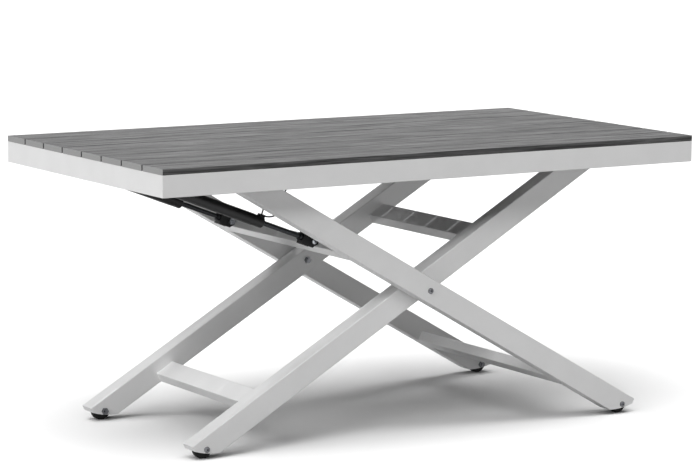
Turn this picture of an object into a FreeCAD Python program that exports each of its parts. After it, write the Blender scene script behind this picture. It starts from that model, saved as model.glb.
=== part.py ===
import FreeCAD, Part
import math
import os
import re
import Sketcher

# Height-adjustable garden table: a slatted top on a mitred frame, carried by two crossed pairs of legs.
# Frame: X along the table, Y across it, Z up, origin on the floor under the middle of the top.
# The inner pair of legs leans from the left feet up to a hinge at the right of the top.
# The outer pair leans from the right feet up to rollers that run in tracks at the left of the top.

DRIVING_SIZES = {
    # top
    "table_length": "1600",
    "table_width": "850",
    "table_height": "750",
    "slat_thickness": "15",
    "slat_gap": "6",
    "slat_edge": "2",
    "rail_height": "55",
    "rail_thickness": "25",
    "rail_wall": "2",
    "rail_edge": "1.5",
    "support_width": "25",
    "support_height": "25",
    "support_wall": "1.5",
    "screw_radius": "2",
    "screw_grip": "10",
    "screw_head_radius": "4.5",
    "screw_head_height": "2.5",
    # legs and crossbars
    "lower_arm_share": "0.44875",
    "upper_arm_share": "0.397375",
    "leg_width": "60",
    "leg_depth": "50",
    "leg_wall": "2",
    "leg_edge": "2.5",
    "leg_gap": "8",
    "foot_overhang": "30",
    "foot_chamfer_top": "15",
    "foot_chamfer_run": "29",
    "foot_round": "200",
    "leg_end_chamfer": "18",
    "leg_headroom": "5",
    "bar_width": "56",
    "bar_thickness": "28",
    "bar_wall": "2",
    "bar_edge": "2",
    "upper_bar_reach": "255",
    "lower_bar_reach": "512",
    # wheels and pivots
    "wheel_gap": "2",
    "wheel_width": "18",
    "wheel_edge": "3",
    "wheel_hub_radius": "10",
    "bolt_radius": "6",
    "foot_bolt_radius": "4",
    "bolt_head_radius": "7.5",
    "bolt_head_height": "4.5",
    "bolt_socket_radius": "2.9",
    "bolt_socket_depth": "2.8",
    "bolt_thread": "9",
    "nut_radius": "9.5",
    "nut_height": "6",
    "spacer_radius": "16",
    "bush_radius": "9",
    "running_clearance": "0.05",
    "side_clearance": "0.3",
    # hinge at the right of the top
    "hinge_inset": "235",
    "hinge_plate": "4",
    "hinge_ear_reach": "18",
    "hinge_back_reach": "49",
    "hinge_bracket_height": "36",
    "beam_width": "30",
    "beam_height": "45",
    # roller tracks at the left of the top
    "track_length": "200",
    "track_lead": "21",
    "track_wall": "2.5",
    "track_depth": "36",
    "roller_radius": "15",
    "roller_width": "26",
    "roller_edge": "1",
    "roller_collar": "9",
    "rivet_height": "2",
    "axle_gap": "4.4",
    "roller_spindle_radius": "5",
    # gas springs
    "spring_inset": "63",
    "spring_standoff": "30",
    "spring_rise": "20.5",
    "spring_pin_radius": "5",
    "lug_reach": "14",
    "lug_drop": "10",
    "lug_nose": "11",
    "lug_thickness": "20",
    "eye_radius": "11",
    "eye_thickness": "12",
    "eye_neck": "20",
    "eye_neck_half": "7.7",
    "cylinder_radius": "15",
    "cylinder_wall": "1.7",
    "cylinder_edge": "1",
    "cylinder_cap": "8",
    "lock_head_length": "30",
    "lock_head_radius": "14.5",
    "lock_head_edge": "2",
    "lock_block_root": "12",
    "lock_block_rise": "20",
    "lock_block_length": "14",
    "lock_block_width": "16",
    "rod_radius": "6.5",
    "rod_float": "3.3",
    "rod_bare": "123",
    "rod_engagement": "120",
    "rod_tail": "2",
    "piston_length": "14",
    "clevis_back": "34",
    "clevis_plate": "3",
    "clevis_height": "35",
    "clevis_nose": "12",
    "rod_nut_radius": "10",
    "rod_nut_height": "8",
    # release lever and its cables
    "lever_offset": "150",
    "lever_rise": "28",
    "lever_length": "118",
    "lever_thickness": "20",
    "lever_hub": "10",
    "lever_tip": "8",
    "lever_tip_height": "12",
    "lever_tip_edge": "3",
    "lever_drop": "24",
    "lever_plate": "4",
    "lever_plate_half": "18",
    "lever_pin_radius": "4",
    "lever_pin_head": "7",
    "lever_pin_head_height": "3",
    "cable_stop_reach": "40",
    "cable_stop_width": "10",
    "cable_radius": "2",
    "cable_exit": "65",
    "cable_rise": "32",
    "cable_bend": "40",
    "cable_drop": "34",
    "cable_lead": "38",
    "clip_size": "8",
}

DERIVED_SIZES = {
    "rail_top": "=table_height - slat_thickness",
    "rail_bottom": "=rail_top - rail_height",
    "inside_length": "=table_length - 2 * rail_thickness",
    "inside_width": "=table_width - 2 * rail_thickness",
    "support_spacing": "=table_length / 4",
    "pivot_level": "=rail_top - leg_width / 2 - leg_headroom",
    "wheel_radius": "=leg_width / 2 - leg_wall - wheel_gap",
    "lower_arm": "=lower_arm_share * table_length",
    "upper_arm": "=upper_arm_share * table_length",
    "lean": "=asin((pivot_level - wheel_radius) / (lower_arm + upper_arm))",
    "pivot_place": "=table_length / 2 - hinge_inset",
    "crossing_place": "=pivot_place - upper_arm * cos(lean)",
    "crossing_level": "=wheel_radius + lower_arm * sin(lean)",
    "inner_foot_place": "=crossing_place - lower_arm * cos(lean)",
    "outer_foot_place": "=crossing_place + lower_arm * cos(lean)",
    "slider_place": "=crossing_place - upper_arm * cos(lean)",
    "axle_reach": "=leg_depth / 2 + roller_collar + roller_width + 2 * side_clearance + rivet_height",
    "outer_leg_offset": "=inside_width / 2 - axle_gap - axle_reach",
    "inner_leg_offset": "=outer_leg_offset - leg_depth - leg_gap",
    "spring_offset": "=inner_leg_offset - spring_inset",
    "bar_drop": "=(bar_thickness - leg_width) / 2",
    "bolt_bore": "=bolt_radius + running_clearance",
    "foot_bore": "=foot_bolt_radius + running_clearance",
    "foot_chord": "=sqrt((foot_overhang + foot_chamfer_run) ^ 2 + (foot_chamfer_top + leg_width / 2) ^ 2)",
    "foot_reach": "=sqrt(foot_round ^ 2 - (foot_chord / 2) ^ 2)",
    "track_place": "=slider_place + roller_radius + track_lead - track_length / 2",
    "track_clear": "=roller_radius + side_clearance",
    "pin_reach": "=upper_bar_reach + bar_width / 2 + lug_reach",
    "pin_drop": "=lug_drop - leg_width / 2",
    "pin_place": "=crossing_place - pin_reach * cos(lean) + pin_drop * sin(lean)",
    "pin_level": "=crossing_level + pin_reach * sin(lean) + pin_drop * cos(lean)",
    "mount_place": "=spring_standoff - inside_length / 2",
    "mount_level": "=rail_bottom + spring_rise",
    "spring_length": "=sqrt((pin_place - mount_place) ^ 2 + (mount_level - pin_level) ^ 2)",
    "spring_tilt": "=asin((mount_level - pin_level) / spring_length)",
    "cylinder_end": "=spring_length - clevis_back - rod_bare - lock_head_length",
    "clevis_gap": "=lug_thickness + 2 * side_clearance",
    "clevis_width": "=clevis_gap + 2 * clevis_plate",
    "rod_end": "=spring_length - clevis_back + clevis_plate + rod_tail",
    "lever_place": "=-lever_offset",
    "lever_level": "=rail_bottom + lever_rise",
    "lever_face": "=-inside_width / 2 + lever_plate",
}

SLAT_COUNT = 8
SUPPORT_PLACES = {"left": "-support_spacing", "middle": "0", "right": "support_spacing"}
SIDES = {"front": "-1", "back": "1"}
OVERCUT = "5"
ARC_SHARE = 0.45
RELEASE_ROUTE = ((0.06, 0.43, 0.36), (0.13, 0.44, 0.72), (0.31, 0.60, 0.93), (0.56, 0.92, 1.0))

doc = FreeCAD.newDocument("garden_table")
sizes = doc.addObject("Spreadsheet::Sheet", "sizes")
CELLS = {**DRIVING_SIZES, **DERIVED_SIZES}
for row, (alias, text) in enumerate(CELLS.items(), start=1):
    sizes.set(f"A{row}", alias)
    sizes.set(f"B{row}", text)
    sizes.setAlias(f"B{row}", alias)
doc.recompute()

sub_parts = []


def bind(text):
    """Point each named size of an expression at its cell in the sheet."""
    return re.sub(r"[a-z_]+", lambda word: f"sizes.{word[0]}" if word[0] in CELLS else word[0], text)


def number(text):
    """The present value of an expression, used to start a sketch or a cable near its solution."""
    return FreeCAD.Units.Quantity(sizes.evalExpression(text)).Value


def place(piece, x, y, z, yaw="0", pitch="0", roll="0"):
    """Tie a piece's position and its turns about Z, Y and X to the sheet."""
    at = f"vector({bind(x)}; {bind(y)}; {bind(z)})"
    turn = f"rotation({bind(yaw)}; {bind(pitch)}; {bind(roll)})"
    piece.setExpression("Placement", f"placement({at}; {turn})")
    return piece


def keep(piece, label):
    """Name a finished sub-part, so that it is checked and written at the end."""
    piece.Label = label
    sub_parts.append(piece)
    return piece


def new_body(name):
    return doc.addObject("PartDesign::Body", name)


def new_sketch(body, role):
    """A sketch on one of the body's own origin planes."""
    sketch = body.newObject("Sketcher::SketchObject", f"{body.Name}_sketch")
    plane = next(feature for feature in body.Origin.OriginFeatures if feature.Role == role)
    sketch.AttachmentSupport = [(plane, "")]
    sketch.MapMode = "FlatFace"
    return sketch


def dimension(sketch, kind, first, first_end, second, second_end, text):
    """One driving dimension, tied to the sheet."""
    rule = Sketcher.Constraint(kind, first, first_end, second, second_end, number(text))
    index = sketch.addConstraint(rule)
    sketch.setExpression(f"Constraints[{index}]", bind(text))


def outline(sketch, corners):
    """A closed polygon whose corners are dimensioned from the sketch's origin."""
    first = sketch.GeometryCount
    points = [FreeCAD.Vector(number(x), number(y), 0) for x, y in corners]
    for start, end in zip(points, points[1:] + points[:1]):
        sketch.addGeometry(Part.LineSegment(start, end))
    for step, (x, y) in enumerate(corners):
        following = first + (step + 1) % len(corners)
        sketch.addConstraint(Sketcher.Constraint("Coincident", first + step, 2, following, 1))
        dimension(sketch, "DistanceX", -1, 1, first + step, 1, x)
        dimension(sketch, "DistanceY", -1, 1, first + step, 1, y)


def rectangle(sketch, left, low, right, high):
    outline(sketch, [(left, low), (right, low), (right, high), (left, high)])


def circle(sketch, x, y, radius):
    centre = FreeCAD.Vector(number(x), number(y), 0)
    ring = sketch.addGeometry(Part.Circle(centre, FreeCAD.Vector(0, 0, 1), number(radius)))
    dimension(sketch, "DistanceX", -1, 1, ring, 3, x)
    dimension(sketch, "DistanceY", -1, 1, ring, 3, y)
    index = sketch.addConstraint(Sketcher.Constraint("Radius", ring, number(radius)))
    sketch.setExpression(f"Constraints[{index}]", bind(radius))


def corner_cut(sketch, x, y, radius, left, low):
    """The lower left corner outside an arc round (x, y), from where it meets left to where it meets low."""
    middle = FreeCAD.Vector(number(x), number(y), 0)
    reach = number(radius)
    below = f"{low} - {OVERCUT}"
    corner = FreeCAD.Vector(number(left), number(below), 0)
    drop = math.sqrt(reach ** 2 - (middle.x - corner.x) ** 2)
    back = math.sqrt(reach ** 2 - (middle.y - number(low)) ** 2)
    start = FreeCAD.Vector(corner.x, middle.y - drop, 0)
    end = FreeCAD.Vector(middle.x - back, number(low), 0)
    angles = [math.atan2(point.y - middle.y, point.x - middle.x) for point in (start, end)]
    whole = Part.Circle(middle, FreeCAD.Vector(0, 0, 1), reach)
    arc = sketch.addGeometry(Part.ArcOfCircle(whole, *angles))
    floor = sketch.addGeometry(Part.LineSegment(end, corner))
    wall = sketch.addGeometry(Part.LineSegment(corner, start))
    for first, second in ((arc, floor), (floor, wall)):
        sketch.addConstraint(Sketcher.Constraint("Coincident", first, 2, second, 1))
    sketch.addConstraint(Sketcher.Constraint("Coincident", wall, 2, arc, 1))
    dimension(sketch, "DistanceX", -1, 1, arc, 3, x)
    dimension(sketch, "DistanceY", -1, 1, arc, 3, y)
    index = sketch.addConstraint(Sketcher.Constraint("Radius", arc, reach))
    sketch.setExpression(f"Constraints[{index}]", bind(radius))
    dimension(sketch, "DistanceX", -1, 1, arc, 1, left)
    dimension(sketch, "DistanceY", -1, 1, arc, 2, low)
    dimension(sketch, "DistanceX", -1, 1, wall, 1, left)
    dimension(sketch, "DistanceY", -1, 1, wall, 1, below)


def pad(body, sketch, length, both_ways=True):
    feature = body.newObject("PartDesign::Pad", f"{body.Name}_pad")
    feature.Profile = sketch
    feature.setExpression("Length", bind(length))
    feature.Midplane = both_ways
    return feature


def pocket(body, sketch):
    """Cut a sketch right through the body, both ways from its plane, and make sure that it cut."""
    doc.recompute()
    before = body.Shape.Volume
    feature = body.newObject("PartDesign::Pocket", f"{body.Name}_pocket")
    feature.Profile = sketch
    feature.Type = "ThroughAll"
    feature.Midplane = True
    doc.recompute()
    if not body.Shape.Volume < before:
        raise ValueError(f"{feature.Name} cuts nothing")


def round_long_edges(body, feature, width, height, radius):
    """Round the four outer edges that run the length of a bar along X."""
    doc.recompute()
    corner = (number(width) / 2, number(height) / 2)
    names = []
    for index, edge in enumerate(feature.Shape.Edges, start=1):
        ends = [vertex.Point for vertex in edge.Vertexes]
        outer = all(abs(abs(p.y) - corner[0]) < 1e-6 and abs(abs(p.z) - corner[1]) < 1e-6 for p in ends)
        if outer and abs(ends[0].x - ends[-1].x) > 1e-6:
            names.append(f"Edge{index}")
    fillet = body.newObject("PartDesign::Fillet", f"{body.Name}_edges")
    fillet.Base = (feature, names)
    fillet.setExpression("Radius", bind(radius))


def bar(name, length, width, height, radius, wall=None):
    """A bar along X, centred on the origin: solid, or a tube when it has a wall."""
    body = new_body(name)
    sketch = new_sketch(body, "YZ_Plane")
    rectangle(sketch, f"-{width} / 2", f"-{height} / 2", f"{width} / 2", f"{height} / 2")
    if wall:
        across, up = f"({width} / 2 - {wall})", f"({height} / 2 - {wall})"
        rectangle(sketch, f"-{across}", f"-{up}", across, up)
    feature = pad(body, sketch, length)
    round_long_edges(body, feature, width, height, radius)
    return body


def turned(name, profile):
    """A turned piece about its own Z axis, from (radius, height) corners."""
    body = new_body(name)
    sketch = new_sketch(body, "XZ_Plane")
    outline(sketch, profile)
    feature = body.newObject("PartDesign::Revolution", f"{name}_turn")
    feature.Profile = sketch
    feature.ReferenceAxis = (sketch, ["V_Axis"])
    feature.Angle = 360
    return body


def group(label, pieces):
    """Like pieces kept as separate solids under one name."""
    compound = doc.addObject("Part::Compound", label)
    compound.Links = pieces
    return keep(compound, label)


def hexagon(radius):
    """The corners of a hexagon about a sketch's origin."""
    return [(f"{radius} * cos({60 * step})", f"{radius} * sin({60 * step})") for step in range(6)]


def bolt_and_nut(name, half_grip, radius, x, y, z, outward):
    """A button-head socket bolt across the table with a nut, its head on the side given by outward."""
    grip = f"({half_grip})"
    tail = f"-{grip} - bolt_thread"
    top = f"{grip} + bolt_head_height"
    bolt = turned(name, [
        ("0", tail), (radius, tail), (radius, grip), ("bolt_head_radius", grip),
        ("bolt_head_radius", f"{grip} + bolt_head_height / 2"), ("bolt_head_radius / 2", top), ("0", top),
    ])
    socket = new_sketch(bolt, "XY_Plane")
    socket.setExpression(".AttachmentOffset.Base.z", bind(top))
    outline(socket, hexagon("bolt_socket_radius"))
    doc.recompute()
    cut = bolt.newObject("PartDesign::Pocket", f"{name}_socket")
    cut.Profile = socket
    cut.setExpression("Length", bind("bolt_socket_depth"))
    nut = new_body(f"{name}_nut")
    sketch = new_sketch(nut, "XY_Plane")
    outline(sketch, hexagon("nut_radius"))
    circle(sketch, "0", "0", f"{radius} + running_clearance")
    pad(nut, sketch, "nut_height", both_ways=False)
    roll = f"-90 * ({outward})"
    place(bolt, x, y, z, roll=roll)
    place(nut, x, f"{y} - ({outward}) * ({grip} + nut_height)", z, roll=roll)
    return [bolt, nut]


def bolt_pair(label, half_grip, radius, x, offset, z, outward="1"):
    """The front and back bolts of one pivot, with heads outwards (1) or inwards (-1)."""
    pieces = []
    for side, sign in SIDES.items():
        pieces += bolt_and_nut(f"{label}_{side}", half_grip, radius, x, f"{sign} * ({offset})", z,
                               f"{sign} * ({outward})")
    return group(label, pieces)


def on_inner(along, above):
    """World X and Z of a point on the inner legs: along them from the crossing, and square to them."""
    return (f"crossing_place + ({along}) * cos(lean) - ({above}) * sin(lean)",
            f"crossing_level + ({along}) * sin(lean) + ({above}) * cos(lean)")


def on_outer(along, above):
    """The same for the outer legs, which lean the other way."""
    return (f"crossing_place - ({along}) * cos(lean) + ({above}) * sin(lean)",
            f"crossing_level + ({along}) * sin(lean) + ({above}) * cos(lean)")


# Slats of the top, side by side along the table, with a pilot hole over each support
slat_width = f"((table_width - {SLAT_COUNT - 1} * slat_gap) / {SLAT_COUNT})"
slat_centres = [f"(-table_width / 2 + {step} * ({slat_width} + slat_gap) + {slat_width} / 2)"
                for step in range(SLAT_COUNT)]
for step, centre in enumerate(slat_centres, start=1):
    slat = bar(f"slat_{step}", "table_length", slat_width, "slat_thickness", "slat_edge")
    holes = new_sketch(slat, "XY_Plane")
    for support_place in SUPPORT_PLACES.values():
        circle(holes, support_place, "0", "screw_radius + running_clearance")
    doc.recompute()
    drill = slat.newObject("PartDesign::Pocket", f"slat_{step}_pilot_holes")
    drill.Profile = holes
    drill.setExpression("Length", bind("screw_grip - slat_thickness / 2"))
    drill.setExpression("Length2", bind("slat_thickness / 2"))
    drill.SideType = "Two sides"
    drill.Type = "Length"
    drill.Type2 = "Length"
    drill.Reversed = True
    place(slat, "0", centre, "table_height - slat_thickness / 2")
    keep(slat, f"slat_{step}")

# Rails: rectangular tubes under the slats' edges, mitred at the corners and welded
for label, length, x, y, yaw in (
    ("front_rail", "table_length", "0", "(rail_thickness - table_width) / 2", "0"),
    ("back_rail", "table_length", "0", "(table_width - rail_thickness) / 2", "180"),
    ("left_rail", "table_width", "(rail_thickness - table_length) / 2", "0", "-90"),
    ("right_rail", "table_width", "(table_length - rail_thickness) / 2", "0", "90"),
):
    rail = bar(label, length, "rail_thickness", "rail_height", "rail_edge", "rail_wall")
    mitres = new_sketch(rail, "XY_Plane")
    for end in ("1", "-1"):
        outline(mitres, [
            (f"{end} * ({length} / 2 + {OVERCUT})", f"-rail_thickness / 2 - {OVERCUT}"),
            (f"{end} * ({length} / 2 + {OVERCUT})", f"rail_thickness / 2 + {OVERCUT}"),
            (f"{end} * ({length} / 2 - rail_thickness - {OVERCUT})", f"rail_thickness / 2 + {OVERCUT}"),
        ])
    pocket(rail, mitres)
    place(rail, x, y, "rail_top - rail_height / 2", yaw=yaw)
    keep(rail, label)

# Supports: three cross tubes that carry the slats between the long rails, drilled for the slat screws
for side, support_place in SUPPORT_PLACES.items():
    label = f"slat_support_{side}"
    support = bar(label, "inside_width", "support_width", "support_height", "rail_edge", "support_wall")
    holes = new_sketch(support, "XY_Plane")
    for centre in slat_centres:
        circle(holes, centre, "0", "screw_radius + running_clearance")
    pocket(support, holes)
    place(support, support_place, "0", "rail_top - support_height / 2", yaw="90")
    keep(support, label)

# Slat screws: pan heads under the supports, threads up into the slats
screws = []
for support_place in SUPPORT_PLACES.values():
    for centre in slat_centres:
        screw = turned(f"screw_{len(screws) + 1}", [
            ("0", "-screw_head_height"), ("screw_head_radius / 2", "-screw_head_height"),
            ("screw_head_radius", "-screw_head_height / 3"), ("screw_head_radius", "0"),
            ("screw_radius", "0"), ("screw_radius", "support_height + screw_grip"),
            ("0", "support_height + screw_grip"),
        ])
        screws.append(place(screw, support_place, centre, "rail_top - support_height"))
group("slat_screws", screws)

# Legs: rectangular tubes, closed and rounded off over the wheel at the foot, chamfered at the top end
leg_span = "(lower_arm + upper_arm + foot_overhang + leg_width / 2)"
leg_shift = "((upper_arm + leg_width / 2 - lower_arm - foot_overhang) / 2)"
leg_top = f"({leg_span} / 2)"
leg_half = "(leg_width / 2)"


def leg(label, sign, offset, yaw, top_bore):
    body = bar(label, leg_span, "leg_depth", "leg_width", "leg_edge", "leg_wall")
    foot = f"(-lower_arm - {leg_shift})"
    toe = new_sketch(body, "XZ_Plane")
    inside = f"({leg_half} - leg_wall)"
    rectangle(toe, f"{foot} - foot_overhang", f"-{inside}", f"{foot} - foot_overhang + leg_wall", inside)
    pad(body, toe, "leg_depth - leg_wall")
    cuts = new_sketch(body, "XZ_Plane")
    run = "(foot_overhang + foot_chamfer_run)"
    rise = f"(foot_chamfer_top + {leg_half})"
    corner_cut(cuts, f"{foot} + (foot_chamfer_run - foot_overhang) / 2 + foot_reach * {rise} / foot_chord",
               f"(foot_chamfer_top - {leg_half}) / 2 + foot_reach * {run} / foot_chord", "foot_round",
               f"{foot} - foot_overhang - {OVERCUT}", f"-{leg_half}")
    for half in ("1", "-1"):
        outline(cuts, [
            (f"{leg_top} - leg_end_chamfer - {OVERCUT}", f"{half} * ({leg_half} + {OVERCUT})"),
            (f"{leg_top} + {OVERCUT}", f"{half} * ({leg_half} + {OVERCUT})"),
            (f"{leg_top} + {OVERCUT}", f"{half} * ({leg_half} - leg_end_chamfer - {OVERCUT})"),
        ])
    circle(cuts, foot, "0", "foot_bore")
    circle(cuts, f"-{leg_shift}", "0", "bolt_bore")
    circle(cuts, f"upper_arm - {leg_shift}", "0", top_bore)
    pocket(body, cuts)
    along = on_outer if yaw == "180" else on_inner
    x, z = along(leg_shift, "0")
    place(body, x, f"{sign} * {offset}", z, yaw=yaw, pitch="-lean")
    return keep(body, label)


for side, sign in SIDES.items():
    leg(f"inner_leg_{side}", sign, "inner_leg_offset", "0", "bush_radius + running_clearance")
    leg(f"outer_leg_{side}", sign, "outer_leg_offset", "180", "bolt_bore")

# Crossbars: flat tubes between each pair of legs, flush with the legs' undersides
for label, offset, along, reach, roll in (
    ("inner_crossbar_upper", "inner_leg_offset", on_inner, "upper_bar_reach", "-lean"),
    ("inner_crossbar_lower", "inner_leg_offset", on_inner, "-lower_bar_reach", "-lean"),
    ("outer_crossbar_upper", "outer_leg_offset", on_outer, "upper_bar_reach", "lean"),
    ("outer_crossbar_lower", "outer_leg_offset", on_outer, "-lower_bar_reach", "lean"),
):
    crossbar = bar(label, f"(2 * {offset} - leg_depth)", "bar_width", "bar_thickness", "bar_edge", "bar_wall")
    x, z = along(reach, "bar_drop")
    place(crossbar, x, "0", z, yaw="90", roll=roll)
    keep(crossbar, label)

# Crossing: a spacer between the legs of each side and a bolt through both
spacers = []
for side, sign in SIDES.items():
    spacer = turned(f"crossing_spacer_{side}", [
        ("bolt_bore", "0"), ("spacer_radius", "0"),
        ("spacer_radius", "leg_gap - side_clearance"), ("bolt_bore", "leg_gap - side_clearance"),
    ])
    face = f"{sign} * (inner_leg_offset + leg_depth / 2)"
    spacers.append(place(spacer, "crossing_place", face, "crossing_level", roll=f"-90 * ({sign})"))
group("crossing_spacers", spacers)
bolt_pair("crossing_bolts", "leg_depth + leg_gap / 2 + side_clearance", "bolt_radius", "crossing_place",
          "(inner_leg_offset + outer_leg_offset) / 2", "crossing_level")

# Feet: a bolt through each leg's two walls and a hubbed roller on it
foot_grip = "leg_depth / 2 + side_clearance"
bolt_pair("inner_foot_bolts", foot_grip, "foot_bolt_radius", "inner_foot_place", "inner_leg_offset",
          "wheel_radius")
bolt_pair("outer_foot_bolts", foot_grip, "foot_bolt_radius", "outer_foot_place", "outer_leg_offset",
          "wheel_radius")
hub = "(leg_depth / 2 - leg_wall - side_clearance)"
tread = "(wheel_width / 2)"
for pair in ("inner", "outer"):
    for side, sign in SIDES.items():
        label = f"foot_wheel_{pair}_{side}"
        wheel = turned(label, [
            ("foot_bore", f"-{hub}"), ("wheel_hub_radius", f"-{hub}"), ("wheel_hub_radius", f"-{tread}"),
            ("wheel_radius - wheel_edge", f"-{tread}"), ("wheel_radius", f"wheel_edge - {tread}"),
            ("wheel_radius", f"{tread} - wheel_edge"), ("wheel_radius - wheel_edge", tread),
            ("wheel_hub_radius", tread), ("wheel_hub_radius", hub), ("foot_bore", hub),
        ])
        place(wheel, f"{pair}_foot_place", f"{sign} * {pair}_leg_offset", "wheel_radius", roll="-90")
        keep(wheel, label)

# Hinge at the right: a cross beam, a bent bracket round each inner leg's top, bushes and bolts
beam = bar("hinge_beam", "inside_width", "beam_width", "beam_height", "rail_edge", "support_wall")
place(beam, "pivot_place + hinge_back_reach + beam_width / 2", "0", "rail_top - beam_height / 2", yaw="90")
keep(beam, "hinge_beam")
ear_gap = "(leg_depth / 2 + side_clearance)"
ear = f"({ear_gap} + hinge_plate)"
hinge_brackets = []
bushes = []
for side, sign in SIDES.items():
    bracket = new_body(f"hinge_bracket_{side}")
    sketch = new_sketch(bracket, "XY_Plane")
    outline(sketch, [
        ("-hinge_ear_reach", f"-{ear}"), ("hinge_back_reach", f"-{ear}"),
        ("hinge_back_reach", ear), ("-hinge_ear_reach", ear),
        ("-hinge_ear_reach", ear_gap), ("hinge_back_reach - hinge_plate", ear_gap),
        ("hinge_back_reach - hinge_plate", f"-{ear_gap}"), ("-hinge_ear_reach", f"-{ear_gap}"),
    ])
    pad(bracket, sketch, "hinge_bracket_height")
    bore = new_sketch(bracket, "XZ_Plane")
    circle(bore, "0", "0", "bolt_bore")
    pocket(bracket, bore)
    leg_line = f"{sign} * inner_leg_offset"
    hinge_brackets.append(place(bracket, "pivot_place", leg_line, "pivot_level"))
    bush = turned(f"hinge_bush_{side}", [
        ("bolt_bore", "-leg_depth / 2"), ("bush_radius", "-leg_depth / 2"),
        ("bush_radius", "leg_depth / 2"), ("bolt_bore", "leg_depth / 2"),
    ])
    bushes.append(place(bush, "pivot_place", leg_line, "pivot_level", roll="-90"))
group("hinge_brackets", hinge_brackets)
group("hinge_bushes", bushes)
bolt_pair("hinge_bolts", ear, "bolt_radius", "pivot_place", "inner_leg_offset", "pivot_level")

# Slides at the left: channels on the long rails, rollers in them, and an axle in each outer leg's top
roller_start = "(leg_depth / 2 + roller_collar)"
roller_end = f"({roller_start} + roller_width + 2 * side_clearance)"
axles = []
for side, sign in SIDES.items():
    track = new_body(f"slide_track_{side}")
    sketch = new_sketch(track, "YZ_Plane")
    lip = "(track_clear + track_wall)"
    outline(sketch, [
        ("0", f"-{lip}"), ("track_depth", f"-{lip}"), ("track_depth", "-track_clear"),
        ("track_wall", "-track_clear"), ("track_wall", "track_clear"), ("track_depth", "track_clear"),
        ("track_depth", lip), ("0", lip),
    ])
    pad(track, sketch, "track_length")
    place(track, "track_place", f"{sign} * inside_width / 2", "pivot_level", yaw=f"90 + 90 * {sign}")
    keep(track, f"slide_track_{side}")
    axle = turned(f"roller_axle_{side}", [
        ("0", "-leg_depth / 2 - bolt_head_height"), ("bolt_head_radius", "-leg_depth / 2 - bolt_head_height"),
        ("bolt_head_radius", "-leg_depth / 2"), ("bolt_radius", "-leg_depth / 2"),
        ("bolt_radius", "leg_depth / 2"), ("bush_radius", "leg_depth / 2"), ("bush_radius", roller_start),
        ("roller_spindle_radius", roller_start), ("roller_spindle_radius", roller_end),
        ("bolt_head_radius", roller_end), ("bolt_head_radius", f"{roller_end} + rivet_height"),
        ("0", f"{roller_end} + rivet_height"),
    ])
    leg_line = f"{sign} * outer_leg_offset"
    axles.append(place(axle, "slider_place", leg_line, "pivot_level", roll=f"-90 * ({sign})"))
    label = f"track_roller_{side}"
    near = f"({roller_start} + side_clearance)"
    far = f"({near} + roller_width)"
    bore = "roller_spindle_radius + running_clearance"
    roller = turned(label, [
        (bore, near), ("roller_radius - roller_edge", near), ("roller_radius", f"{near} + roller_edge"),
        ("roller_radius", f"{far} - roller_edge"), ("roller_radius - roller_edge", far), (bore, far),
    ])
    place(roller, "slider_place", leg_line, "pivot_level", roll=f"-90 * ({sign})")
    keep(roller, label)
group("roller_axles", axles)

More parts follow.
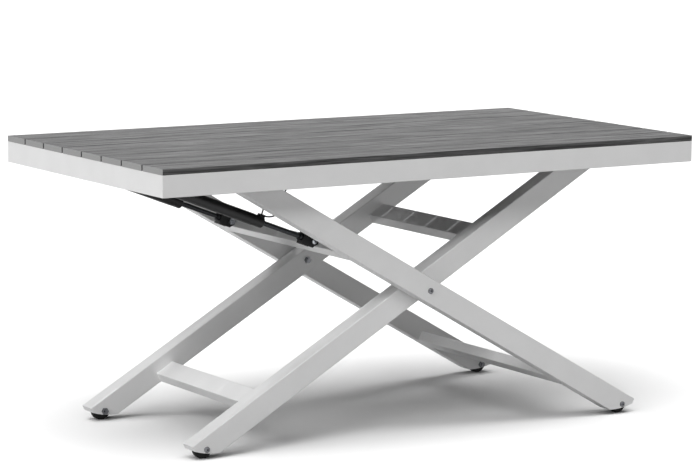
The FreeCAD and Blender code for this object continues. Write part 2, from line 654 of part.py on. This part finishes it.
# Gas springs: bracket and pin on the left rail, cylinder with lock head, rod with clevis, lug on the crossbar
ear_gap = "(eye_thickness / 2 + side_clearance)"
ear = f"({ear_gap} + hinge_plate)"
octagon = "tan(22.5)"
spring_brackets = []
lugs = []
for side, sign in SIDES.items():
    spring_line = f"{sign} * spring_offset"
    bracket = new_body(f"spring_bracket_{side}")
    sketch = new_sketch(bracket, "XY_Plane")
    outline(sketch, [
        ("-spring_standoff", f"-{ear}"), ("eye_radius", f"-{ear}"), ("eye_radius", f"-{ear_gap}"),
        ("hinge_plate - spring_standoff", f"-{ear_gap}"), ("hinge_plate - spring_standoff", ear_gap),
        ("eye_radius", ear_gap), ("eye_radius", ear), ("-spring_standoff", ear),
    ])
    pad(bracket, sketch, "2 * eye_radius")
    bore = new_sketch(bracket, "XZ_Plane")
    circle(bore, "0", "0", "spring_pin_radius + running_clearance")
    pocket(bracket, bore)
    spring_brackets.append(place(bracket, "mount_place", spring_line, "mount_level"))

    cylinder = turned(f"gas_cylinder_{side}", [
        ("0", "eye_neck"), ("cylinder_radius - cylinder_edge", "eye_neck"),
        ("cylinder_radius", "eye_neck + cylinder_edge"),
        ("cylinder_radius", "cylinder_end"), ("cylinder_radius - cylinder_wall", "cylinder_end"),
        ("cylinder_radius - cylinder_wall", "eye_neck + cylinder_cap"), ("0", "eye_neck + cylinder_cap"),
    ])
    eye = new_sketch(cylinder, "XZ_Plane")
    outline(eye, [
        ("-eye_neck_half", "eye_neck + cylinder_cap / 2"), ("-eye_neck_half", "eye_neck_half"),
        ("-eye_radius", f"{octagon} * eye_radius"), ("-eye_radius", f"-{octagon} * eye_radius"),
        (f"-{octagon} * eye_radius", "-eye_radius"), (f"{octagon} * eye_radius", "-eye_radius"),
        ("eye_radius", f"-{octagon} * eye_radius"), ("eye_radius", f"{octagon} * eye_radius"),
        ("eye_neck_half", "eye_neck_half"), ("eye_neck_half", "eye_neck + cylinder_cap / 2"),
    ])
    circle(eye, "0", "0", "spring_pin_radius + running_clearance")
    pad(cylinder, eye, "eye_thickness")
    head = turned(f"lock_head_{side}", [
        ("rod_radius + rod_float", "cylinder_end"), ("lock_head_radius", "cylinder_end"),
        ("lock_head_radius", "cylinder_end + lock_head_length - lock_head_edge"),
        ("lock_head_radius - lock_head_edge", "cylinder_end + lock_head_length"),
        ("rod_radius + rod_float", "cylinder_end + lock_head_length"),
    ])
    block = new_sketch(head, "XZ_Plane")
    block_start = "cylinder_end + lock_head_length - lock_head_edge - lock_block_length"
    block_end = f"{block_start} + lock_block_length"
    rectangle(block, "-lock_block_rise", block_start, "-lock_block_root", block_end)
    pad(head, block, "lock_block_width")
    piston_start = "(cylinder_end - rod_engagement)"
    piston_end = f"({piston_start} + piston_length)"
    piston_radius = "cylinder_radius - cylinder_wall - rod_float"
    nut_end = "(spring_length - clevis_back)"
    rod = turned(f"piston_rod_{side}", [
        ("0", piston_start), (piston_radius, piston_start), (piston_radius, piston_end),
        ("rod_radius", piston_end), ("rod_radius", f"{nut_end} - rod_nut_height"),
        ("rod_nut_radius", f"{nut_end} - rod_nut_height"), ("rod_nut_radius", nut_end),
        ("rod_radius", nut_end), ("rod_radius", "rod_end"), ("0", "rod_end"),
    ])
    for piece in (cylinder, head, rod):
        place(piece, "mount_place", spring_line, "mount_level", pitch="90 deg + spring_tilt")
        keep(piece, piece.Name)

    clevis = new_body(f"clevis_{side}")
    cheek = new_sketch(clevis, "XZ_Plane")
    waist = f"{octagon} * clevis_nose"
    outline(cheek, [
        ("clevis_back", "-clevis_height / 2"), ("clevis_back", "clevis_height / 2"),
        ("0", "clevis_height / 2"), ("-clevis_nose", waist), ("-clevis_nose", f"-{waist}"),
        ("0", "-clevis_height / 2"),
    ])
    circle(cheek, "0", "0", "spring_pin_radius + running_clearance")
    pad(clevis, cheek, "clevis_width")
    slot = new_sketch(clevis, "XY_Plane")
    slot_end = "clevis_back - clevis_plate"
    rectangle(slot, f"-clevis_nose - {OVERCUT}", "-clevis_gap / 2", slot_end, "clevis_gap / 2")
    pocket(clevis, slot)
    rod_hole = new_sketch(clevis, "YZ_Plane")
    circle(rod_hole, "0", "0", "rod_radius + running_clearance")
    pocket(clevis, rod_hole)
    place(clevis, "pin_place", spring_line, "pin_level", yaw="180", pitch="-spring_tilt")
    keep(clevis, f"clevis_{side}")

    lug = new_body(f"spring_lug_{side}")
    sketch = new_sketch(lug, "XZ_Plane")
    flat = f"{octagon} * lug_nose"
    outline(sketch, [
        ("-lug_reach", "-lug_drop"), (flat, "-lug_nose"), ("lug_nose", f"-{flat}"), ("lug_nose", flat),
        (flat, "lug_nose"), ("-lug_reach", "lug_nose"),
    ])
    circle(sketch, "0", "0", "spring_pin_radius + running_clearance")
    pad(lug, sketch, "lug_thickness")
    x, z = on_outer("pin_reach", "pin_drop")
    lugs.append(place(lug, x, spring_line, z, yaw="180", pitch="-lean"))
group("spring_brackets", spring_brackets)
group("spring_lugs", lugs)
bolt_pair("spring_pins", ear, "spring_pin_radius", "mount_place", "spring_offset", "mount_level")
bolt_pair("clevis_bolts", "clevis_width / 2 + side_clearance", "spring_pin_radius", "pin_place",
          "spring_offset", "pin_level")

# Release lever: a plate with a cable stop on the front rail, a pin, and a squeeze lever on the pin
plate = new_body("lever_bracket")
sketch = new_sketch(plate, "XZ_Plane")
stop_end = "-cable_stop_reach"
rectangle(sketch, stop_end, "-lever_plate_half", "lever_plate_half", "lever_plate_half")
circle(sketch, "0", "0", "lever_pin_radius + running_clearance")
pad(plate, sketch, "lever_plate")
stop = new_sketch(plate, "XZ_Plane")
rectangle(stop, stop_end, "-cable_stop_width / 2", f"{stop_end} + cable_stop_width", "cable_stop_width / 2")
stop_pad = pad(plate, stop, "lever_plate / 2 + lever_thickness", both_ways=False)
stop_pad.Reversed = True
place(plate, "lever_place", "lever_face - lever_plate / 2", "lever_level")
keep(plate, "lever_bracket")
pin_grip = "(lever_thickness + 2 * side_clearance)"
pin = turned("lever_pin", [
    ("0", "-lever_plate"), ("lever_pin_radius", "-lever_plate"), ("lever_pin_radius", pin_grip),
    ("lever_pin_head", pin_grip), ("lever_pin_head", f"{pin_grip} + lever_pin_head_height"),
    ("0", f"{pin_grip} + lever_pin_head_height"),
])
place(pin, "lever_place", "lever_face", "lever_level", roll="-90")
keep(pin, "lever_pin")
lever = new_body("release_lever")
sketch = new_sketch(lever, "XZ_Plane")
hub_flat = f"{octagon} * lever_hub"
tip_top = "lever_tip_height - lever_drop"
outline(sketch, [
    (f"-{hub_flat}", "-lever_hub"), ("lever_hub", "-lever_hub"), ("lever_length - lever_tip", "-lever_drop"),
    ("lever_length", "lever_tip_edge - lever_drop"), ("lever_length", f"{tip_top} - lever_tip_edge"),
    ("lever_length - lever_tip", tip_top),
    ("2 * lever_hub", hub_flat), (hub_flat, "lever_hub"), (f"-{hub_flat}", "lever_hub"),
    ("-lever_hub", hub_flat), ("-lever_hub", f"-{hub_flat}"),
])
circle(sketch, "0", "0", "lever_pin_radius + running_clearance")
pad(lever, sketch, "lever_thickness")
place(lever, "lever_place", "lever_face + side_clearance + lever_thickness / 2", "lever_level")
keep(lever, "release_lever")

# Cable clips: blocks on the left support's face, each with a hole for the link cable
cable_line = "(support_width / 2 - support_spacing + clip_size / 2)"
cable_level = "(rail_top - support_height / 2)"
clips = []
for step in ("-1", "0", "1"):
    clip = new_body(f"cable_clip_{len(clips) + 1}")
    sketch = new_sketch(clip, "XZ_Plane")
    rectangle(sketch, "-clip_size / 2", "-clip_size / 2", "clip_size / 2", "clip_size / 2")
    circle(sketch, "0", "0", "cable_radius + running_clearance")
    pad(clip, sketch, "clip_size")
    clips.append(place(clip, cable_line, f"{step} * spring_offset / 2", cable_level))
group("cable_clips", clips)


def cable(label, points):
    """A sheathed cable: a round tube along straight runs joined by arcs as large as the runs allow."""
    edges = []
    start = points[0]
    for before, corner, after in zip(points, points[1:], points[2:]):
        back = (before - corner).normalize()
        ahead = (after - corner).normalize()
        set_back = ARC_SHARE * min((before - corner).Length, (after - corner).Length)
        half_corner = back.getAngle(ahead) / 2
        radius = set_back * math.tan(half_corner)
        to_arc = set_back / math.cos(half_corner) - radius
        arc_start = corner + back * set_back
        arc_end = corner + ahead * set_back
        arc_middle = corner + (back + ahead).normalize() * to_arc
        edges.append(Part.LineSegment(start, arc_start).toShape())
        edges.append(Part.Arc(arc_start, arc_middle, arc_end).toShape())
        start = arc_end
        print(label, "bend radius", round(radius, 1))
    edges.append(Part.LineSegment(start, points[-1]).toShape())
    route = Part.Wire(edges)
    section = Part.Wire([Part.makeCircle(number("cable_radius"), points[0], points[1] - points[0])])
    tube = doc.addObject("Part::Feature", label)
    tube.Shape = route.makePipeShell([section], True, False)
    print(label, "length", round(route.Length, 1), "volume", round(tube.Shape.Volume, 1),
          "of", round(route.Length * number("3.14159265 * cable_radius ^ 2"), 1))
    return keep(tube, label)


def on_spring(along, above, sign):
    """World point beside a gas spring's axis, measured from its upper pin."""
    tilt = "spring_tilt"
    x = number(f"mount_place + ({along}) * cos({tilt}) + ({above}) * sin({tilt})")
    z = number(f"mount_level - ({along}) * sin({tilt}) + ({above}) * cos({tilt})")
    return FreeCAD.Vector(x, number(f"{sign} * spring_offset"), z)


block_middle = f"{block_start} + lock_block_length / 2"
for side, sign in SIDES.items():
    foot = on_spring(block_middle, "lock_block_rise", sign)
    rise = on_spring(block_middle, "lock_block_rise + cable_rise", sign)
    line = number(cable_line)
    level = number(cable_level)
    bend = number(f"{sign} * (spring_offset - cable_bend)")
    cable(f"link_cable_{side}", [
        foot, rise, FreeCAD.Vector(line, foot.y, level - number("cable_drop")),
        FreeCAD.Vector(line, bend, level), FreeCAD.Vector(line, 0, level),
    ])
exit_point = on_spring(block_middle, "(lock_block_root + lock_block_rise) / 2", SIDES["front"])
exit_point.y -= number("lock_block_width / 2")
stop_point = FreeCAD.Vector(number("lever_place - cable_stop_reach"),
                            number("lever_face + lever_thickness / 2"), number("lever_level"))
reach = stop_point - exit_point
on_route = [exit_point + FreeCAD.Vector(reach.x * x, reach.y * y, reach.z * z) for x, y, z in RELEASE_ROUTE]
cable("release_cable", [
    exit_point, exit_point - FreeCAD.Vector(0, number("cable_exit"), 0), *on_route,
    stop_point - FreeCAD.Vector(number("cable_lead"), 0, 0), stop_point,
])

# Check every object, then write each sub-part to its own file
doc.recompute()
for item in doc.Objects:
    if "Invalid" in item.State or "Error" in item.State:
        raise ValueError(f"{item.Name} failed: {item.State}")
for piece in sub_parts:
    if piece.Shape.isNull() or not piece.Shape.isValid() or not piece.Shape.Solids:
        raise ValueError(f"{piece.Label} has no valid solid")
os.makedirs("parts", exist_ok=True)
for piece in sub_parts:
    piece.Shape.exportStep(f"parts/{piece.Label}.step")
print(len(sub_parts), "sub-parts written")
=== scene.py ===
import math
import bmesh
import bpy
from mathutils import Matrix, Vector


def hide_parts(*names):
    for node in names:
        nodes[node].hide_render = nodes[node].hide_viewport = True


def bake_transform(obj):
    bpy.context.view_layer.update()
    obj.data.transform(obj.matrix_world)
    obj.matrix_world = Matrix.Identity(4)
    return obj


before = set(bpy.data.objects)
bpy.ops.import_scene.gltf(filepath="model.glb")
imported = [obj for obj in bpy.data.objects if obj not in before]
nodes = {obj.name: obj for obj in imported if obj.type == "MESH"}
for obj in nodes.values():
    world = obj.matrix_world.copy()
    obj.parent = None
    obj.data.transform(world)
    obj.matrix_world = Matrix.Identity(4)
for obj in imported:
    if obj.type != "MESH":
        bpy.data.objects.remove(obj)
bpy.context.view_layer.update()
scene = bpy.context.scene
scene.view_settings.view_transform = "Standard"

# Camera: a long studio lens, a little above the table top and to the left of its near long side.
# Its place, turn and focal length were fitted to the corners of the table in the photograph.
IMAGE_WIDTH = 700
FOCAL_PIXELS = 2925
SENSOR_WIDTH = 36
CAMERA_PLACE = (-4.091, -6.504, 1.579)
CLIP_END = 200
yaw = math.radians(32.13)
pitch = math.radians(8.08)
roll = math.radians(0.44)
ahead = Vector((math.sin(yaw) * math.cos(pitch), math.cos(yaw) * math.cos(pitch), -math.sin(pitch)))
level_right = Vector((math.cos(yaw), -math.sin(yaw), 0))
level_up = level_right.cross(ahead)
right = level_right * math.cos(roll) + level_up * math.sin(roll)
up = level_up * math.cos(roll) - level_right * math.sin(roll)
camera_data = bpy.data.cameras.new("photo_camera")
camera_data.sensor_width = SENSOR_WIDTH
camera_data.lens = SENSOR_WIDTH * FOCAL_PIXELS / IMAGE_WIDTH
camera_data.clip_end = CLIP_END
camera = bpy.data.objects.new("photo_camera", camera_data)
turn = Matrix((right, up, -ahead)).transposed().to_4x4()
camera.matrix_world = Matrix.Translation(CAMERA_PLACE) @ turn
scene.collection.objects.link(camera)
scene.camera = camera


# Studio: white seamless paper as floor and backdrop. The softboxes stand far off, so each is a sun lamp
# as wide as it looks from the table. The narrow one overhead draws lines of light through the slat gaps.
# The paper has softboxes of its own, so that it is white but for the soft shadow under the table.
def linear(colour):
    """The linear RGBA of an sRGB hex value."""
    channels = [int(colour[at:at + 2], 16) / 255 for at in (1, 3, 5)]
    return (*[c / 12.92 if c <= 0.04045 else ((c + 0.055) / 1.055) ** 2.4 for c in channels], 1)


def feed(node, inputs):
    """Set a node's inputs; each is a plain value or the output socket that feeds it."""
    for socket, value in inputs.items():
        if isinstance(value, bpy.types.NodeSocket):
            node.id_data.links.new(value, node.inputs[socket])
        else:
            node.inputs[socket].default_value = value


def add(tree, kind, inputs, **settings):
    """Add a node with its settings and inputs."""
    node = tree.nodes.new(kind)
    for name, value in settings.items():
        setattr(node, name, value)
    feed(node, inputs)
    return node


def reckon(tree, operation, *values):
    """The result of a math node."""
    return add(tree, "ShaderNodeMath", dict(enumerate(values)), operation=operation).outputs[0]


def between(tree, factor, low, high):
    """A value from low to high as the factor goes from 0 to 1."""
    return add(tree, "ShaderNodeMapRange", {"Value": factor, "To Min": low, "To Max": high}).outputs[0]


def in_sight(tree):
    """1 for what is seen by the camera or in a reflection, and 0 for light that is thrown on."""
    ray = add(tree, "ShaderNodeLightPath", {})
    return reckon(tree, "MAXIMUM", ray.outputs["Is Camera Ray"], ray.outputs["Is Glossy Ray"])


world = bpy.data.worlds.new("white_studio")
world.use_nodes = True
world_tree = world.node_tree
feed(world_tree.nodes["Background"], {"Color": linear("#FFFFFF"), "Strength": in_sight(world_tree)})
scene.world = world

FLOOR_REACH = 60
floor_shape = bmesh.new()
bmesh.ops.create_grid(floor_shape, x_segments=1, y_segments=1, size=FLOOR_REACH)
floor_mesh = bpy.data.meshes.new("studio_floor")
floor_shape.to_mesh(floor_mesh)
floor_shape.free()
floor = bpy.data.objects.new("studio_floor", floor_mesh)
scene.collection.objects.link(floor)
# Matt white paper. It is white to the camera and in reflections, and throws less light back at the table.
PAPER_WHITE = 0.95
PAPER_BOUNCE = 0.31
paper = bpy.data.materials.new("matt_white_paper")
paper.use_nodes = True
paper_tree = paper.node_tree
paper_tree.nodes.remove(paper_tree.nodes["Principled BSDF"])
paper_tone = between(paper_tree, in_sight(paper_tree), PAPER_BOUNCE, PAPER_WHITE)
paper_shader = add(paper_tree, "ShaderNodeBsdfDiffuse", {"Color": paper_tone})
feed(paper_tree.nodes["Material Output"], {"Surface": paper_shader.outputs[0]})
floor_mesh.materials.append(paper)

# Each lamp has a strength, a width in degrees and the way its light goes, and lights the paper or all else.
for name, strength, width, towards, lights_paper in (
    ("left_softbox", 0.20, 30, (1.0, 0.10, -1.0), False),
    ("left_fill", 1.24, 20, (1.0, 0.20, -0.50), False),
    ("corner_softbox", 0.90, 16, (0.70, 0.70, -0.78), False),
    ("front_fill", 0.36, 30, (0.10, 1.0, -0.05), False),
    ("front_softbox", 0.24, 20, (0.10, 1.0, -1.0), False),
    ("back_fill", 0.26, 45, (-0.50, -1.0, -0.60), False),
    ("overhead_softbox", 0.84, 25, (0.0, 0.0, -1.0), False),
    ("overhead_spot", 0.85, 0.8, (0.0, -0.10, -1.0), False),
    ("paper_overhead", 2.45, 60, (0.0, 0.0, -1.0), True),
    ("paper_left", 1.90, 60, (1.0, 0.30, -1.0), True),
    ("paper_front", 0.90, 60, (0.0, 0.80, -1.0), True),
):
    lamp_data = bpy.data.lights.new(name, "SUN")
    lamp_data.energy = strength
    lamp_data.angle = math.radians(width)
    lamp = bpy.data.objects.new(name, lamp_data)
    lamp.rotation_euler = Vector(towards).to_track_quat("-Z", "Y").to_euler()
    scene.collection.objects.link(lamp)
    lit = bpy.data.collections.new(f"{name}_lights")
    lit.objects.link(floor)
    lit.collection_objects[0].light_linking.link_state = "INCLUDE" if lights_paper else "EXCLUDE"
    lamp.light_linking.receiver_collection = lit


# Slats: eight boards of grey wood-look composite with eased edges, screwed down from below.
# Their grain is embossed and printed along the board: long pale and dark streaks with thin dark pores.
# The sawn ends show the plain, paler composite. The sides and underside are darker than the top: painted
# shade.
def new_material(name):
    """A new material, its node tree, its shader, and the place on the piece that wears it."""
    made = bpy.data.materials.new(name)
    made.use_nodes = True
    tree = made.node_tree
    place = add(tree, "ShaderNodeTexCoord", {}).outputs["Object"]
    return made, tree, tree.nodes["Principled BSDF"], place


def noise(tree, place, size, detail, **more):
    """Noise from 0 to 1 with features of this size."""
    inputs = {"Vector": place, "Scale": 1 / size, "Detail": detail, **more}
    return add(tree, "ShaderNodeTexNoise", inputs).outputs["Fac"]


def shades(tree, factor, low, dark, high, pale):
    """A colour from dark to pale as the factor goes from low to high."""
    ramp = add(tree, "ShaderNodeValToRGB", {"Fac": factor})
    first, last = ramp.color_ramp.elements
    first.position = low
    first.color = linear(dark)
    last.position = high
    last.color = linear(pale)
    return ramp.outputs[0]


def bump(tree, height, strength, depth):
    """A surface normal for relief of this depth."""
    inputs = {"Height": height, "Strength": strength, "Distance": depth}
    return add(tree, "ShaderNodeBump", inputs).outputs[0]


def dress(material, *names):
    """Give the named pieces a material."""
    for name in names:
        for held in nodes[name].material_slots:
            held.material = material


SLAT_COUNT = 8
SLAT_PITCH = 0.107
GRAIN_SHIFT = 4.0
STREAK_LENGTH = 0.22
STREAK_WIDTH = 0.008
PORE_LENGTH = 0.08
PORE_WIDTH = 0.0025
# Painted shade on the sides and underside keeps this much of the top's value.
SHADED_FACE_VALUE = 0.55
composite, grain, board_shader, place = new_material("grey_wood_composite")
across = add(grain, "ShaderNodeSeparateXYZ", {"Vector": place})
board_number = reckon(grain, "FLOOR", reckon(grain, "DIVIDE", across.outputs["Y"], SLAT_PITCH))
board_noise = add(grain, "ShaderNodeTexWhiteNoise", {"W": board_number}, noise_dimensions="1D")
board_shade = board_noise.outputs["Value"]
# Each board is cut from another length, so its grain is shifted along.
shift = add(grain, "ShaderNodeCombineXYZ", {"X": reckon(grain, "MULTIPLY", board_shade, GRAIN_SHIFT)})
shifted = add(grain, "ShaderNodeVectorMath", {0: place, 1: shift.outputs[0]}, operation="ADD").outputs[0]
# Streaks are drawn 8 mm wide, because the true 2 mm ones blur away at this distance.
wide = add(grain, "ShaderNodeMapping", {
    "Vector": shifted, "Scale": (1 / STREAK_LENGTH, 1 / STREAK_WIDTH, 1 / STREAK_WIDTH),
})
streaks = noise(grain, wide.outputs[0], 1.0, 3.0, Roughness=0.6, Distortion=0.3)
fine = add(grain, "ShaderNodeMapping", {
    "Vector": shifted, "Scale": (1 / PORE_LENGTH, 1 / PORE_WIDTH, 1 / PORE_WIDTH),
})
pores = noise(grain, fine.outputs[0], 1.0, 4.0, Roughness=0.65)
# The colours of a mix node go in at sockets 6 and 7 and come out at 2.
board_tone = add(grain, "ShaderNodeMix", {
    "Factor": 0.6,
    6: shades(grain, streaks, 0.34, "#434344", 0.66, "#8C8C8C"),
    7: shades(grain, pores, 0.33, "#5E5E5E", 0.52, "#FFFFFF"),
}, data_type="RGBA", blend_type="MULTIPLY")
board_colour = add(grain, "ShaderNodeHueSaturation", {
    "Color": board_tone.outputs[2], "Value": between(grain, board_shade, 0.92, 1.08),
})
# A face is an end, a side or an underside when its normal is within 37 degrees of that direction.
FACE_LIMIT = 0.8
facing = add(grain, "ShaderNodeSeparateXYZ", {"Vector": place.node.outputs["Normal"]})
is_end = reckon(grain, "GREATER_THAN", reckon(grain, "ABSOLUTE", facing.outputs["X"]), FACE_LIMIT)
is_side = reckon(grain, "GREATER_THAN", reckon(grain, "ABSOLUTE", facing.outputs["Y"]), FACE_LIMIT)
is_under = reckon(grain, "LESS_THAN", facing.outputs["Z"], -FACE_LIMIT)
# The sides and underside are darkened: painted shade in the gaps between boards and under the top.
is_shaded_face = reckon(grain, "MAXIMUM", is_side, is_under)
shaded_face_colour = add(grain, "ShaderNodeHueSaturation", {
    "Color": board_colour.outputs[0], "Value": between(grain, is_shaded_face, 1.0, SHADED_FACE_VALUE),
})
# The filler in a sawn end is a speckle of about 2 mm.
speckle = noise(grain, place, 0.002, 2.0)
slat_colour = add(grain, "ShaderNodeMix", {
    "Factor": is_end,
    6: shaded_face_colour.outputs[0],
    7: shades(grain, speckle, 0.3, "#9C9C9C", 0.7, "#AEAEAE"),
}, data_type="RGBA")
feed(board_shader, {
    "Base Color": slat_colour.outputs[2],
    "Roughness": between(grain, streaks, 0.66, 0.82),
    "Normal": bump(grain, pores, 0.35, 0.0006),
    "IOR": 1.45,
    "Specular IOR Level": 0.25,
})
dress(composite, *[f"slat_{number}" for number in range(1, SLAT_COUNT + 1)])

# Frame and legs: rectangular aluminium tube, mitred, welded and ground, then powder coated white.
# The coat is satin, with a faint orange peel and slightly uneven gloss.
powder_coat, coat, coat_shader, place = new_material("white_powder_coated_aluminium")
# Orange peel is about 1.5 mm from hump to hump.
peel = noise(coat, place, 0.0015, 1.0)
# Cloudy gloss and a trace of handling, about 90 mm across.
clouds = noise(coat, place, 0.09, 3.0)
feed(coat_shader, {
    "Base Color": shades(coat, clouds, 0.35, "#ECECEC", 0.65, "#F0F0F0"),
    "Roughness": between(coat, clouds, 0.28, 0.42),
    "Normal": bump(coat, peel, 0.12, 0.0002),
    "IOR": 1.5,
})
dress(
    powder_coat, "front_rail", "back_rail", "left_rail", "right_rail", "slat_support_left",
    "slat_support_middle", "slat_support_right", "hinge_beam", "inner_leg_front", "inner_leg_back",
    "outer_leg_front", "outer_leg_back", "inner_crossbar_upper", "inner_crossbar_lower",
    "outer_crossbar_upper", "outer_crossbar_lower", "spring_lugs",
)

# Pivot bolts at the crossing and the feet: button-head socket bolts of polished stainless steel, with nuts.
# They hold the legs and wheels. Their colour is darkened as a painted reflection of the shade under the
# table.
dark_reflection_steel, bolt_steel, bolt_shader, place = new_material("steel_with_painted_dark_reflection")
# Patches of about 4 mm, paler and darker: painted glints and dark reflections on the heads.
painted_glints = noise(bolt_steel, place, 0.004, 3.0)
feed(bolt_shader, {
    "Base Color": shades(bolt_steel, painted_glints, 0.35, "#545559", 0.7, "#7A7B7E"),
    "Roughness": between(bolt_steel, painted_glints, 0.2, 0.34),
    "Metallic": 1.0,
})
dress(dark_reflection_steel, "crossing_bolts", "inner_foot_bolts", "outer_foot_bolts")

# Other bolts, pins, screws and axles: zinc plated steel, turned and rolled, with a bright passivated look.
# They hold the hinge, springs, rollers, lever and slats.
zinc, plating, zinc_shader, place = new_material("zinc_plated_steel")
# The crystals of the plating show as a 2 mm mottle.
mottle = noise(plating, place, 0.002, 2.0)
feed(zinc_shader, {
    "Base Color": shades(plating, mottle, 0.3, "#8E9195", 0.7, "#B9BCC0"),
    "Roughness": between(plating, mottle, 0.25, 0.42),
    "Metallic": 1.0,
})
dress(zinc, "slat_screws", "hinge_bolts", "roller_axles", "clevis_bolts", "spring_pins", "lever_pin")

# Gas cylinders, brackets, clevises and tracks: pressed and drawn steel, painted satin black.
# They are bolted to the frame and to the lugs on the crossbar.
black_paint, paint, paint_shader, place = new_material("satin_black_painted_steel")
# The paint's texture is about 0.8 mm, drawn at 1.2 mm so that it shows.
grit = noise(paint, place, 0.0012, 2.0)
# Dust lies in patches of about 30 mm.
dust = noise(paint, place, 0.03, 3.0)
feed(paint_shader, {
    "Base Color": shades(paint, dust, 0.35, "#0A0A0B", 0.7, "#111112"),
    "Roughness": between(paint, dust, 0.34, 0.48),
    "Normal": bump(paint, grit, 0.15, 0.0002),
    "Specular IOR Level": 0.3,
})
dress(
    black_paint, "gas_cylinder_front", "gas_cylinder_back", "clevis_front", "clevis_back",
    "spring_brackets", "hinge_brackets", "slide_track_front", "slide_track_back", "lever_bracket",
)

# Piston rods: ground steel, nitrided to a black skin, with a nut against the clevis.
# They slide in the lock heads, and the ground surface keeps a soft line of light along the rod.
ROD_TILT = math.radians(20.8)
nitrided, skin, rod_shader, place = new_material("black_nitrided_steel")
# Grinding leaves rings round the rod, drawn 1 mm apart so that they show.
rings = add(skin, "ShaderNodeMapping", {
    "Vector": place, "Rotation": (0, ROD_TILT, 0), "Scale": (0.001, 0.02, 0.02),
}, vector_type="TEXTURE")
ground = noise(skin, rings.outputs[0], 1.0, 2.0)
feed(rod_shader, {
    "Base Color": shades(skin, ground, 0.3, "#2B2C2E", 0.7, "#3A3B3D"),
    "Roughness": between(skin, ground, 0.24, 0.40),
    "Metallic": 1.0,
})
dress(nitrided, "piston_rod_front", "piston_rod_back")

# Lock heads, lever, spacers, bushes, clips and track rollers: moulded black glass-filled nylon.
# They are pressed or screwed on, with a slightly dull moulded surface.
nylon, moulding, nylon_shader, place = new_material("black_moulded_nylon")
# Spark-eroded mould texture, about 1 mm.
spark = noise(moulding, place, 0.001, 2.0)
# The melt's flow shows in the gloss, in patches of about 20 mm.
flow = noise(moulding, place, 0.02, 2.0)
feed(nylon_shader, {
    "Base Color": linear("#101011"),
    "Roughness": between(moulding, flow, 0.42, 0.56),
    "Normal": bump(moulding, spark, 0.2, 0.0002),
    "IOR": 1.53,
    "Specular IOR Level": 0.3,
})
dress(
    nylon, "lock_head_front", "lock_head_back", "release_lever", "crossing_spacers", "hinge_bushes",
    "cable_clips", "track_roller_front", "track_roller_back",
)

# Foot wheels: black rubber rollers with a hub, turning on bolts in the rounded open ends of the legs.
# Moulded rubber is dull, with fine scuffs from the ground.
rubber, tread, rubber_shader, place = new_material("black_moulded_rubber")
# Scuffs are about 3 mm across.
scuffs = noise(tread, place, 0.003, 4.0)
feed(rubber_shader, {
    "Base Color": shades(tread, scuffs, 0.4, "#080808", 0.75, "#131312"),
    "Roughness": between(tread, scuffs, 0.5, 0.75),
    "Normal": bump(tread, scuffs, 0.25, 0.0003),
    "Specular IOR Level": 0.25,
})
dress(
    rubber, "foot_wheel_inner_front", "foot_wheel_inner_back", "foot_wheel_outer_front",
    "foot_wheel_outer_back",
)

# Cables: steel wire in a black plastic sheath, 4 mm thick, from the lock heads to the lever.
# They bend where the springs turn under the top, so each one is a smooth tube between its two ends.
CABLE_RADIUS = 0.002
STEPS_ALONG = 24
STEPS_ROUND = 4
sheath, vinyl, sheath_shader, place = new_material("black_vinyl_sheath")
# Extruded vinyl has a soft shine with a ripple of about 6 mm.
ripple = noise(vinyl, place, 0.006, 2.0)
feed(sheath_shader, {
    "Base Color": linear("#151516"),
    "Roughness": between(vinyl, ripple, 0.34, 0.50),
})


def mesh_of(thing):
    """The mesh that an object has now."""
    bpy.context.view_layer.update()
    return bpy.data.meshes.new_from_object(thing.evaluated_get(bpy.context.evaluated_depsgraph_get()))


for name, body, length, route in (
    ("release_cable", "front_cylinder", 0.369, (
        (-0.40344, -0.2200, 0.58788), (-0.40344, -0.2850, 0.58788), (-0.39063, -0.29138, 0.63112),
        (-0.37569, -0.29304, 0.67437), (-0.33727, -0.3196, 0.69959), (-0.28391, -0.37272, 0.7080),
        (-0.2280, -0.3860, 0.7080), (-0.1900, -0.3860, 0.7080),
    )),
    ("link_cable_front", "front_cylinder", 0.319, (
        (-0.40202, -0.2120, 0.59162), (-0.39066, -0.2120, 0.62153), (-0.3835, -0.2120, 0.6885),
        (-0.3835, -0.1720, 0.7225), (-0.3835, 0.0, 0.7225),
    )),
    ("link_cable_back", "back_cylinder", 0.319, (
        (-0.40202, 0.2120, 0.59162), (-0.39066, 0.2120, 0.62153), (-0.3835, 0.2120, 0.6885),
        (-0.3835, 0.1720, 0.7225), (-0.3835, 0.0, 0.7225),
    )),
):
    curve = bpy.data.curves.new(f"{name}_line", "CURVE")
    curve.dimensions = "3D"
    curve.resolution_u = STEPS_ALONG
    spline = curve.splines.new("NURBS")
    spline.points.add(len(route) - 1)
    for point, at in zip(spline.points, route):
        point.co = (*at, 1)
    spline.order_u = 3
    spline.use_endpoint_u = True
    line = bpy.data.objects.new(f"{name}_line", curve)
    scene.collection.objects.link(line)
    path = [tuple(vertex.co) for vertex in mesh_of(line).vertices]
    curve.bevel_depth = CABLE_RADIUS
    curve.bevel_resolution = STEPS_ROUND
    curve.use_fill_caps = True
    tube_mesh = mesh_of(line)
    bpy.data.objects.remove(line)
    tube_mesh.materials.clear()
    tube_mesh.materials.append(sheath)
    tube_mesh.shade_smooth()
    tube = bpy.data.objects.new(f"{name}_sheath", tube_mesh)
    scene.collection.objects.link(tube)
    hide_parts(name)
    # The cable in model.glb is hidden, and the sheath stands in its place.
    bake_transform(tube)
